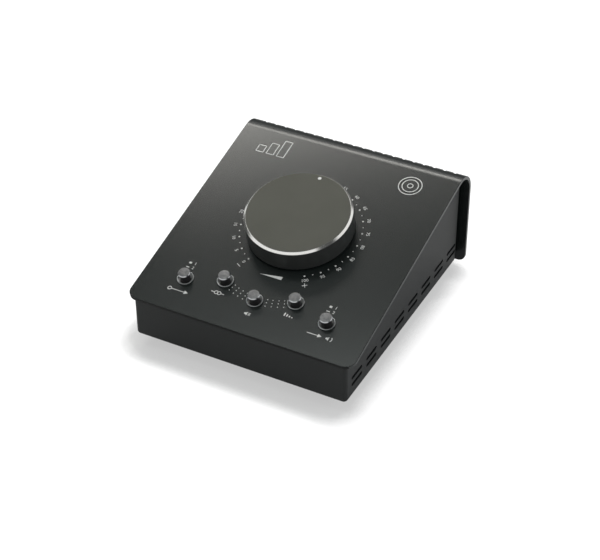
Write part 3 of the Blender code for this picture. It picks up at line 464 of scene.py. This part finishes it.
# Flat cable: sixteen conductors side by side in soft grey PVC, ribbed 1.27 mm apart, pressed
# into a black plug at each end. It joins the main board to the rear board.
pvc, tree, shader = finish("grey_pvc_flat_cable", "#9b9b9d", 0.5)
place = add_node(tree, "ShaderNodeTexCoord").outputs["Object"]
WAVE_BANDS = 3.18  # bands in a metre that a wave texture draws at a scale of 1
RIB_PITCH = 0.00127
ribs = add_node(tree, "ShaderNodeTexWave",
                {"bands_direction": "X", "Scale": 1 / RIB_PITCH / WAVE_BANDS, "Distortion": 0.0},
                Vector=place)
bump = add_node(tree, "ShaderNodeBump", {"Distance": 0.0002}, Height=ribs.outputs["Fac"])
tree.links.new(bump.outputs["Normal"], shader.inputs["Normal"])
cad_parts["ribbon_cable"].data.materials[0] = pvc
for node in ("ribbon_plug_main", "ribbon_plug_rear"):
    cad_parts[node].data.materials[0] = nylon


# Cover: one 2 mm sheet that is the sloping panel, bends down over the back and hangs behind
# the tray as a flange. Dark grey powder coat. Twenty vent slots rise from the flange over
# the bend, and pillars and standoffs are clinched to its underside.
PANEL = Matrix.Translation((0, FRONT_Y, EDGE_Z)) @ Matrix.Rotation(SLOPE, 4, "X")
COVER_HALF = cover_high.x
KNOB_S = 0.0762  # the knob's axis, up the slope from the front edge
BUTTON_HOLE = 0.0043
POT_HOLE = 0.0048
STANDOFFS = ((-0.032, 0.0145), (0.032, 0.0145))
SLOT_COUNT = 20
SLOT_HALF = 0.0015
FIRST_SLOT = 0.00784  # from the cover's side to the first slot's middle


def centre_of(node):
    """Middle of a node in the panel's own frame: across, up the slope, out of the panel."""
    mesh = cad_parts[node].data
    spots = [PANEL.inverted() @ vert.co for vert in mesh.vertices]
    return [(min(p[i] for p in spots) + max(p[i] for p in spots)) / 2 for i in range(3)]


def on_panel(shape):
    """Carry a shape from the panel's frame to its place."""
    bmesh.ops.transform(shape, matrix=PANEL, verts=shape.verts)
    return shape


def rear_slots():
    """Cutter for the twenty slots, round at the foot, open over the bend."""
    shape = bmesh.new()
    start = BEND_Y + BEND_RADIUS * math.cos(math.radians(70))
    foot, top, half = BEND_Z - 0.0045, cover_high.z + 0.002, SLOT_HALF
    outline = [*arc((0, foot + half), half, math.pi, 2 * math.pi, 12), (half, top), (-half, top)]
    first = FIRST_SLOT - COVER_HALF
    for slot in range(SLOT_COUNT):
        x = first - 2 * first * slot / (SLOT_COUNT - 1)
        face = shape.faces.new([shape.verts.new((x + dx, start, z)) for dx, z in outline])
        grown = bmesh.ops.extrude_face_region(shape, geom=[face])["geom"]
        bmesh.ops.translate(shape, vec=(0, FLANGE_Y + 0.002 - start, 0),
                            verts=[item for item in grown if isinstance(item, bmesh.types.BMVert)])
    return shape


# The same kind of powder coat in dark grey, smoother. Its sheen is what the eye sees:
# bright towards the back light, near black at the front. Its grain is drawn at 0.4 mm too.
cover_coat, tree, shader = finish("satin_dark_grey_powder_coat", "#151a19", 0.25)
grain(tree, shader, 0.0004, 0.000003)
mottle(tree, shader, "Base Color", 0.03, "#141918", "#161b1a")

# The sheet's cut front edge is painted near black, a painted shade of the gap under its edge.
painted_gap_shade_edge_coat, tree, shader = finish("painted_gap_shade_on_cut_edge", "#0b0c0c", 0.6, level=0.2)
mottle(tree, shader, "Base Color", 0.002, "#0a0b0b", "#0d0e0e")

button_spots = {name: centre_of(name + "_button_bezel")[:2] for name in BUTTON_NAMES}
shape = sweep_x(cover_line(0) + cover_line(COVER_SHEET)[::-1], COVER_HALF)
near_front = FRONT_Y + COVER_SHEET
round_corners(shape, 0.006, 12, lambda a, b: a.x == b.x and max(a.y, b.y) < near_front)
round_corners(shape, 0.0045, 8, lambda a, b: a.x == b.x and max(a.z, b.z) < cover_low.z + 0.00001)
soften(shape, 0.00025)
pillars = bmesh.new()
for node in foot_nodes[:2]:
    x, y = foot_places[node]
    top = EDGE_Z + (y - FRONT_Y) * math.tan(SLOPE) - 0.001
    made = bmesh.ops.create_cone(pillars, cap_ends=True, segments=32, radius1=BOSS_RADIUS,
                                 radius2=BOSS_RADIUS, depth=top - TRAY_FLOOR - GAP)
    bmesh.ops.translate(pillars, vec=(x, y, (top + TRAY_FLOOR + GAP) / 2), verts=made["verts"])
standoffs = on_panel(rods(STANDOFFS, 0.00275, -0.0137, -0.001))
standoff_holes = on_panel(rods(STANDOFFS, 0.00155, -0.018, -0.0077))
button_holes = on_panel(rods(button_spots.values(), BUTTON_HOLE, -0.004, 0.002, 48))
pot_hole = on_panel(rods([(0, KNOB_S)], POT_HOLE, -0.004, 0.002, 48))
front_feet = [foot_places[node] for node in foot_nodes[:2]]
cover = add_piece("cover_sheet", shape, cover_coat, painted_gap_shade_edge_coat, sharp=22)
carve(cover, (pillars, "UNION"), (standoffs, "UNION"), (button_holes, "DIFFERENCE"),
      (pot_hole, "DIFFERENCE"), (rear_slots(), "DIFFERENCE"), (rear_holes(), "DIFFERENCE"),
      (standoff_holes, "DIFFERENCE"),
      (rods(front_feet, FOOT_SCREW_HOLE, 0, 0.0143), "DIFFERENCE"), sharp=22)
# the front edge, where the sheet was cut, takes the near-black coat of painted shade
for face in cover.data.polygons:
    face.material_index = int(face.center.y < near_front and face.normal.y < -0.8)
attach(cover, "chassis")
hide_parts("top_cover")


# Button bezels: a metal ring pressed into each hole of the panel. Its lip is a thin bead
# rolled over the hole's edge, and inside the bead it slopes down to the button's neck.

# Turned steel with a satin finish: the bead draws a fine bright line round each button, and
# the slope inside it is a darker grey.
bezel_metal, tree, shader = finish("satin_turned_steel_ring", "#a3a5a6", 0.4, 1.0)
mottle(tree, shader, "Roughness", 0.0009, 0.35, 0.45)
BEAD = 0.00027
lip = arc((0.00433, GAP + BEAD), BEAD, -math.pi / 2, math.pi, 12)
ring = [(0.003, -0.0012), (0.0036, -0.003), (0.004, -0.003), (0.004, GAP), *lip,
        (0.0039, -0.0001), (0.003, -0.0007)]
for name, (x, s) in button_spots.items():
    bezel = add_piece(name + "_ring", on_panel(set_down(turned(ring), x, s)), bezel_metal)
    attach(bezel, "chassis")
    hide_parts(name + "_button_bezel")


# Button caps: mushroom shaped mouldings 7 mm across, a nearly flat head with a chamfered
# edge on a narrow neck that slides in the ring. The neck and the head's underside take
# the black nylon finish as painted shade under the head. Each is pushed onto its switch's
# white plunger.
CAP_RADIUS = 0.0035
NECK_RADIUS = 0.00275
HEAD_UNDER = 0.0045

# ABS plated with satin chrome: mid grey and softly clouded. Its dimples are really 0.1 mm
# and are drawn at 1.2 mm so that they show.
cap_plastic, tree, shader = finish("satin_chrome_plated_abs", "#626263", 0.42, 1.0)
grain(tree, shader, 0.0012, 0.00002, detail=0.0)
mottle(tree, shader, "Base Color", 0.0015, "#545455", "#707071")

# The same chrome over the mould's polished edge: bright, so that the chamfer draws a thin
# crescent round each head.
cap_edge, tree, shader = finish("polished_chrome_edge", "#b0b2b4", 0.17, 1.0)
mottle(tree, shader, "Roughness", 0.0012, 0.14, 0.2)

cap_line = [(0, -0.0014), (NECK_RADIUS, -0.0014), (NECK_RADIUS, HEAD_UNDER),
            (0.0033, HEAD_UNDER), (CAP_RADIUS, 0.0047), (CAP_RADIUS, 0.00485),
            (0.0031, 0.00525), (0.0024, 0.00532), (0.0012, 0.00538), (0, 0.0054)]
for name, (x, s) in button_spots.items():
    cap = add_piece(name + "_cap", turned(cap_line), cap_plastic, nylon, cap_edge)
    carve(cap, (block((-0.0018, -0.0018, -0.003), (0.0018, 0.0018, 0.0029)), "DIFFERENCE"))
    # the neck and the head's underside are black as painted shade under the head
    for face in cap.data.polygons:  # black neck, bright chamfer, satin head
        edge = math.hypot(face.center.x, face.center.y) > 0.0032
        face.material_index = 1 if face.center.z < 0.00455 else 2 if edge else 0
    cap.data.transform(PANEL @ Matrix.Translation((x, s, 0)))
    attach(cap, name + "_button")
    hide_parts(name + "_button_cap")


# Volume knob: turned from one bar of aluminium, 59.8 mm across, with a hub that grips the
# shaft by a grub screw. Bead-blasted grey top, diamond-cut bright chamfer, dark satin side.
KNOB_RADIUS = 0.0299
KNOB_TOP = 0.014
KNOB_HOLLOW = 0.0259
CHAMFER_WIDTH = 0.0013
CHAMFER_DROP = 0.0012
HUB_RADIUS = 0.0075
SHAFT_HOLE = 0.0033
knob_axis = PANEL @ Matrix.Translation((0, KNOB_S, 0))

# Bead-blasted anodised aluminium: even warm grey. Its grain is really 0.1 mm and is drawn at
# 0.35 mm so that it shows.
blasted, tree, shader = finish("blasted_grey_anodised_aluminium", "#575752", 0.62, 1.0)
grain(tree, shader, 0.00035, 0.000008)
mottle(tree, shader, "Base Color", 0.02, "#555550", "#595954")

# Diamond-cut aluminium under clear anodising: a bright ring that mirrors the lamps.
cut_edge, tree, shader = finish("diamond_cut_aluminium_edge", "#e2e2de", 0.16, 1.0)
mottle(tree, shader, "Roughness", 0.004, 0.12, 0.2)

# Dark anodised aluminium, turned: fine rings round the side, really 0.1 mm apart and drawn
# at 0.5 mm. The knob's axis is leant by the slope, so the pattern is turned with it.
dark_side, tree, shader = finish("dark_turned_anodised_aluminium", "#434544", 0.38, 0.5)
place = add_node(tree, "ShaderNodeTexCoord").outputs["Object"]
leant = add_node(tree, "ShaderNodeMapping", {"Rotation": (-SLOPE, 0, 0)}, Vector=place)
RING_PITCH = 0.0005
rings = add_node(tree, "ShaderNodeTexWave",
                 {"bands_direction": "Z", "Scale": 1 / RING_PITCH / WAVE_BANDS, "Distortion": 0.0},
                 Vector=leant.outputs["Vector"])
bump = add_node(tree, "ShaderNodeBump", {"Distance": 0.000006}, Height=rings.outputs["Fac"])
tree.links.new(bump.outputs["Normal"], shader.inputs["Normal"])

knob_line = [(0, 0.012), (SHAFT_HOLE, 0.012), (SHAFT_HOLE, 0.0034), (HUB_RADIUS, 0.0034),
             (HUB_RADIUS, 0.0085), (KNOB_HOLLOW, 0.0085), (KNOB_HOLLOW, 0.0011),
             (0.0262, 0.0008), (0.0296, 0.0008), (KNOB_RADIUS, 0.0011),
             (KNOB_RADIUS, KNOB_TOP - CHAMFER_DROP),
             (KNOB_RADIUS - 0.00105, KNOB_TOP - 0.00015),
             (KNOB_RADIUS - CHAMFER_WIDTH, KNOB_TOP), (0, KNOB_TOP)]
knob = add_piece("volume_knob_turned", turned(knob_line, 144), blasted, cut_edge, dark_side,
                 sharp=12)
POINTER_RADIUS = 0.001
pointer_y = KNOB_RADIUS - 0.0035
side_hole = rods([(0, -0.00595)], 0.0017, 0.0025, 0.032, 24)
bmesh.ops.rotate(side_hole, matrix=Matrix.Rotation(-math.pi / 2, 3, "X"), verts=side_hole.verts)
dimple = rods([(0, pointer_y)], POINTER_RADIUS, KNOB_TOP - 0.0009, KNOB_TOP + 0.001, 32)
carve(knob, (dimple, "DIFFERENCE"), (side_hole, "DIFFERENCE"), sharp=12)
for face in knob.data.polygons:
    middle = face.center
    reach = math.hypot(middle.x, middle.y)
    on_chamfer = reach > KNOB_RADIUS - CHAMFER_WIDTH - 0.0001 and 0.6 < face.normal.z < 0.9
    on_top = middle.z > KNOB_TOP - 0.001
    face.material_index = 1 if on_chamfer else 0 if on_top else 2
knob.data.transform(knob_axis)
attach(knob, "volume_control")
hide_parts("volume_knob")

# Pointer: a dot of white enamel filled into a drilled dimple near the knob's edge, smooth
# and level with its top. The grub screw below it is plain zinc-plated steel.
enamel, tree, shader = finish("white_fill_enamel", "#d4d4d2", 0.35)
mottle(tree, shader, "Base Color", 0.0006, "#cecece", "#dadad8")
dot = [(0, KNOB_TOP - 0.0006), (POINTER_RADIUS, KNOB_TOP - 0.0006),
       (POINTER_RADIUS, KNOB_TOP - 0.00004), (0.0009, KNOB_TOP), (0, KNOB_TOP)]
pointer = add_piece("pointer_dot", set_down(turned(dot, 32), 0, pointer_y), enamel)
pointer.data.transform(knob_axis)
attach(pointer, "volume_control")
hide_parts("knob_pointer")
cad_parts["knob_grub_screw"].data.materials[0] = zinc


# Panel print: light grey two-part ink, screen printed on the coat after baking. Dots and
# plain numbers 0 to 100 round the knob, and small pictograms by the buttons.
INK_TOP = 0.00005
PEN = 0.0004
THIN_PEN = 0.0005
DIAL_RADIUS = 0.034
NUMBER_RADIUS = 0.0371
DIAL_DOTS, DIAL_START, DIAL_STEP = 41, -150, 7.5
DIGIT_SHARE = 0.69  # a digit's height as a share of its font size
ink_shape = bmesh.new()


def ink_dot(x, s, radius):
    """A printed disc."""
    made = bmesh.ops.create_cone(ink_shape, cap_ends=True, segments=16, radius1=radius,
                                 radius2=radius, depth=2 * INK_TOP)
    bmesh.ops.translate(ink_shape, vec=(x, s, 0), verts=made["verts"])


def ink_patch(points):
    """A printed patch with straight edges."""
    face = ink_shape.faces.new([ink_shape.verts.new((x, s, -INK_TOP)) for x, s in points])
    grown = bmesh.ops.extrude_face_region(ink_shape, geom=[face])["geom"]
    bmesh.ops.translate(ink_shape, vec=(0, 0, 2 * INK_TOP),
                        verts=[item for item in grown if isinstance(item, bmesh.types.BMVert)])


def ink_bar(x0, s0, x1, s1, width):
    """A printed line of even width."""
    along = Vector((x1 - x0, s1 - s0)).normalized() * width / 2
    dx, ds = -along.y, along.x
    ink_patch([(x0 + dx, s0 + ds), (x0 - dx, s0 - ds), (x1 - dx, s1 - ds), (x1 + dx, s1 + ds)])


def ink_ring(x, s, radius, width, start=0.0, end=360.0, steps=24):
    """A printed ring, or part of one."""
    turns = [math.radians(start + (end - start) * step / steps) for step in range(steps + 1)]
    inner = radius - width
    for a, b in zip(turns, turns[1:]):
        ink_patch([(x + r * math.cos(t), s + r * math.sin(t))
                   for r, t in ((inner, a), (radius, a), (radius, b), (inner, b))])


def ink_number(number, x, s, height, turn):
    """A printed number, centred on its place."""
    words = bpy.data.curves.new("number", "FONT")
    words.body = str(number)
    words.size = height / DIGIT_SHARE
    words.align_x = "CENTER"
    words.align_y = "CENTER"
    words.extrude = INK_TOP
    words.resolution_u = 3
    holder = bpy.data.objects.new("number", words)
    bpy.context.scene.collection.objects.link(holder)
    mesh = bpy.data.meshes.new_from_object(holder)
    mesh.transform(Matrix.Translation((x, s, 0)) @ Matrix.Rotation(turn, 4, "Z"))
    ink_shape.from_mesh(mesh)
    bpy.data.objects.remove(holder)
    bpy.data.meshes.remove(mesh)


def ink_speaker(x, s, size):
    """A plain loudspeaker sign: a box and a cone."""
    box, cone, neck, mouth = size * 0.35, size * 0.9, size * 0.45, size * 0.2
    ink_patch([(x - size, s - box), (x - neck, s - box), (x - neck, s + box),
               (x - size, s + box)])
    ink_patch([(x - neck, s - box), (x + mouth, s - cone), (x + mouth, s + cone),
               (x - neck, s + box)])


# the dial: a small dot between each two large ones, which have numbers, those below the
# knob turned to be read from the front
for step in range(DIAL_DOTS):
    turn = math.radians(DIAL_START + DIAL_STEP * step)
    ink_dot(DIAL_RADIUS * math.sin(turn), KNOB_S + DIAL_RADIUS * math.cos(turn),
            0.0003 if step % 2 else 0.0005)
    if step % 2 == 0:
        lower = abs(turn) > math.radians(95)
        ink_number(step * 5 // 2, NUMBER_RADIUS * math.sin(turn),
                   KNOB_S + NUMBER_RADIUS * math.cos(turn), 0.0019,
                   (math.pi if lower else 0) - turn)

# low and high ends of the dial: minus and plus
ink_bar(-0.0212, 0.0417, -0.0188, 0.0403, PEN)
ink_bar(0.0188, 0.0403, 0.0212, 0.0417, PEN)
ink_bar(0.0193, 0.0422, 0.0207, 0.0398, PEN)
# a rising wedge under the knob
ink_patch([(-0.0063, 0.0398), (0.0065, 0.0398), (0.0065, 0.042)])
# two plain signs at the back: a row of level bars and a loudspeaker's cone
for bar, tall in enumerate((0.005, 0.0085, 0.0125)):
    x0, x1, s0, s1 = -0.052 + 0.0066 * bar, -0.0475 + 0.0066 * bar, 0.1212, 0.1212 + tall
    for ends in ((x0, s0, x1, s0), (x1, s0, x1, s1), (x1, s1, x0, s1), (x0, s1, x0, s0)):
        ink_bar(*ends, THIN_PEN)
for radius in (0.0068, 0.0048, 0.0018):
    ink_ring(0.0425, 0.1265, radius, THIN_PEN, steps=48)
# input: ring, line and arrow
ink_ring(-0.0474, 0.0134, 0.0012, PEN)
ink_bar(-0.0462, 0.0134, -0.0385, 0.0134, PEN)
ink_patch([(-0.0385, 0.0122), (-0.0363, 0.0134), (-0.0385, 0.0146)])
# output: line, arrow, and a loudspeaker with its sound
ink_bar(0.0353, 0.0134, 0.0415, 0.0134, PEN)
ink_patch([(0.0415, 0.0122), (0.0437, 0.0134), (0.0415, 0.0146)])
ink_speaker(0.0475, 0.0134, 0.0014)
ink_ring(0.0478, 0.0134, 0.002, PEN, -45, 45, 8)
# two channels as one: linked rings on a line
ink_ring(-0.0222, 0.0197, 0.0012, PEN)
ink_ring(-0.0204, 0.0197, 0.0012, PEN)
ink_bar(-0.0252, 0.0197, -0.0234, 0.0197, PEN)
ink_bar(-0.0192, 0.0197, -0.0174, 0.0197, PEN)
# silence: loudspeaker and cross
ink_speaker(0, 0.0128, 0.0014)
ink_bar(0.001, 0.012, 0.002, 0.0136, PEN)
ink_bar(0.001, 0.0136, 0.002, 0.012, PEN)
# quieter: falling bars
for bar, tall in enumerate((0.0021, 0.0016, 0.0011, 0.0006)):
    ink_bar(0.0191 + 0.0015 * bar, 0.0187, 0.0191 + 0.0015 * bar, 0.0187 + tall, 0.0007)
# positions of the outer switches: a patch for out, 1, and a dash for in, 2
for x in (-0.0425, 0.0425):
    ink_number(1, x + 0.0001, 0.0331, 0.0018, 0)
    ink_number(2, x + 0.0001, 0.03, 0.0018, 0)
    for x0, x1, s0, s1 in ((x - 0.0037, x - 0.0022, 0.0324, 0.0336),
                           (x - 0.004, x - 0.0021, 0.0296, 0.0301)):
        ink_patch([(x0, s0), (x1, s0), (x1, s1), (x0, s1)])
# dotted fields between the buttons
DOT_ROWS = ((0.0149, 0.0278), (0.0121, 0.0267), (0.009, 0.0258), (0.0061, 0.0252),
            (0.0157, 0.0259), (0.01265, 0.0247), (0.0095, 0.0237), (0.0064, 0.0231),
            (0.0164, 0.0237), (0.0133, 0.0225), (0.0101, 0.0216), (0.0068, 0.0208))
for x, s in DOT_ROWS:
    ink_dot(x, s, 0.00028)
    ink_dot(-x, s, 0.00028)

# Screen-printing ink: pale grey, matt, a little uneven where the mesh left it.
ink, tree, shader = finish("pale_grey_screen_ink", "#c9c9c7", 0.55)
mottle(tree, shader, "Base Color", 0.0012, "#c2c2c0", "#d0d0ce")
panel_print = add_piece("panel_print", on_panel(ink_shape), ink, sharp=30)
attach(panel_print, "chassis")


# Studio: a pale seamless table under three soft lamps in a white room. The camera sees it
# white, with a painted shadow at the product's foot: a grey band, widest along its front,
# where its glow is dimmed by nearness, by occlusion rays that lean to the back right.
floor_paint, tree, shader = finish("pale_studio_table_with_painted_shadow", "#f2f2f2", 0.3)
path = add_node(tree, "ShaderNodeLightPath").outputs
leaning = add_node(tree, "ShaderNodeCombineXYZ", {"X": 0.35, "Y": 0.65, "Z": 0.675})
near = add_node(tree, "ShaderNodeAmbientOcclusion", {"samples": 8, "Distance": 0.018},
                Normal=leaning.outputs["Vector"])
# the camera's glow on the table, dimmed near the product: this dip is the painted shadow
white = add_node(tree, "ShaderNodeMapRange", {"interpolation_type": "SMOOTHSTEP", "From Min": 0.8,
                                              "From Max": 0.98, "To Min": 0.62, "To Max": 1.3},
                 Value=near.outputs["AO"])
glow = add_node(tree, "ShaderNodeEmission", Strength=white.outputs["Result"])
seen = add_node(tree, "ShaderNodeMapRange", {"To Max": 0.8}, Value=path["Is Camera Ray"])
both = add_node(tree, "ShaderNodeMixShader", Fac=seen.outputs["Result"])
output = tree.nodes["Material Output"]
tree.links.new(shader.outputs[0], both.inputs[1])
tree.links.new(glow.outputs[0], both.inputs[2])
tree.links.new(both.outputs[0], output.inputs["Surface"])
shape = bmesh.new()
bmesh.ops.create_grid(shape, x_segments=1, y_segments=1, size=0.45)
floor = add_piece("studio_floor", shape, floor_paint)
floor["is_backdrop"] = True


def soft_lamp(name, place, target, width, height, power, colour):
    """A rectangular soft box that faces a point."""
    lamp = bpy.data.lights.new(name, "AREA")
    lamp.color = linear(colour)[:3]
    lamp.shape = "RECTANGLE"
    lamp.size = width
    lamp.size_y = height
    lamp.energy = power
    holder = bpy.data.objects.new(name, lamp)
    aim = Vector(target) - Vector(place)
    holder.rotation_mode = "QUATERNION"
    holder.rotation_quaternion = aim.to_track_quat("-Z", "Y")
    holder.location = place
    holder.visible_camera = False
    bpy.context.scene.collection.objects.link(holder)
    return holder


# A long lamp behind on the left puts the sheen on the back of the panel, one overhead lights
# the knob's top, and a tall one on the right lights the side and isn't mirrored.
soft_lamp("lamp_back_left", (-0.263, 0.441, 0.598), (0, 0, 0.05), 0.517, 0.112, 1.9, "#fffdf7")
soft_lamp("lamp_front", (-0.127, -0.08, 0.552), (0, 0, 0.05), 0.335, 0.335, 0.85, "#f8fffc")
side_lamp = soft_lamp("lamp_right", (1.06, 0.3, 0.62), (0, 0, 0.04), 0.4, 0.7, 5.2, "#f7fbff")
side_lamp.visible_glossy = False

# The room is white to the camera and dimmer in diffuse light. What gloss and glass mirror
# has five dark soft-edged cards: low behind for the cover's bend, behind, left and front
# right for the knob's chamfer, and overhead for the panel and the knob's top. Each is a
# direction, the cosines between which its edge fades in, and its level.
DARK_CARDS = (((-0.43, 0.903, 0), 0.86, 0.93, 0.17),
              ((0.12, 0.985, 0.13), 0.94, 0.98, 0.15),
              ((-0.999, 0.035, 0.025), 0.9, 0.97, 0.1),
              ((0.79, -0.28, 0.545), 0.93, 0.985, 0.08),
              ((0, 0, 1), 0.55, 0.7, 0.13))
world = bpy.data.worlds.new("studio_world")
bpy.context.scene.world = world
world.use_nodes = True
tree = world.node_tree
path = add_node(tree, "ShaderNodeLightPath").outputs
way = add_node(tree, "ShaderNodeTexCoord").outputs["Generated"]
room = add_node(tree, "ShaderNodeValue").outputs[0]
room.default_value = 1.0
for towards, start, end, dark in DARK_CARDS:
    facing = add_node(tree, "ShaderNodeVectorMath", {"operation": "DOT_PRODUCT", 1: towards})
    tree.links.new(way, facing.inputs[0])
    card = {"interpolation_type": "SMOOTHSTEP", "From Min": start, "From Max": end,
            "To Max": dark}
    room = add_node(tree, "ShaderNodeMapRange", card, Value=facing.outputs["Value"],
                    **{"To Min": room}).outputs["Result"]
mirrored = add_node(tree, "ShaderNodeMath", {"operation": "MAXIMUM"})
tree.links.new(path["Is Glossy Ray"], mirrored.inputs[0])
tree.links.new(path["Is Transmission Ray"], mirrored.inputs[1])
lit = add_node(tree, "ShaderNodeMapRange", {"To Min": 0.45}, Value=mirrored.outputs[0],
               **{"To Max": room})
level = add_node(tree, "ShaderNodeMapRange", {"To Max": 1.0}, Value=path["Is Camera Ray"],
                 **{"To Min": lit.outputs["Result"]})
sky = tree.nodes["Background"]
sky.inputs["Color"].default_value = (1, 1, 1, 1)
tree.links.new(level.outputs["Result"], sky.inputs["Strength"])

# Camera: a long lens at the picture's own angle, solved from the straight edges.
camera = bpy.data.objects.new("camera", bpy.data.cameras.new("camera"))
camera.data.lens = 96.58
camera.data.sensor_width = 36
azimuth, elevation, roll = (math.radians(degrees) for degrees in (27.92, 36.84, -0.32))
back = Vector((math.sin(azimuth) * math.cos(elevation), -math.cos(azimuth) * math.cos(elevation),
               math.sin(elevation)))
level_right = Vector((math.cos(azimuth), math.sin(azimuth), 0))
level_up = back.cross(level_right)
right = math.cos(roll) * level_right + math.sin(roll) * level_up
up = math.cos(roll) * level_up - math.sin(roll) * level_right
camera.matrix_world = Matrix.Translation((0.3356, -0.63795, 0.555)) @ Matrix(
    (right, up, back)).transposed().to_4x4()
bpy.context.scene.collection.objects.link(camera)
bpy.context.scene.camera = camera
bpy.context.scene.view_settings.view_transform = "Standard"

low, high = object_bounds()
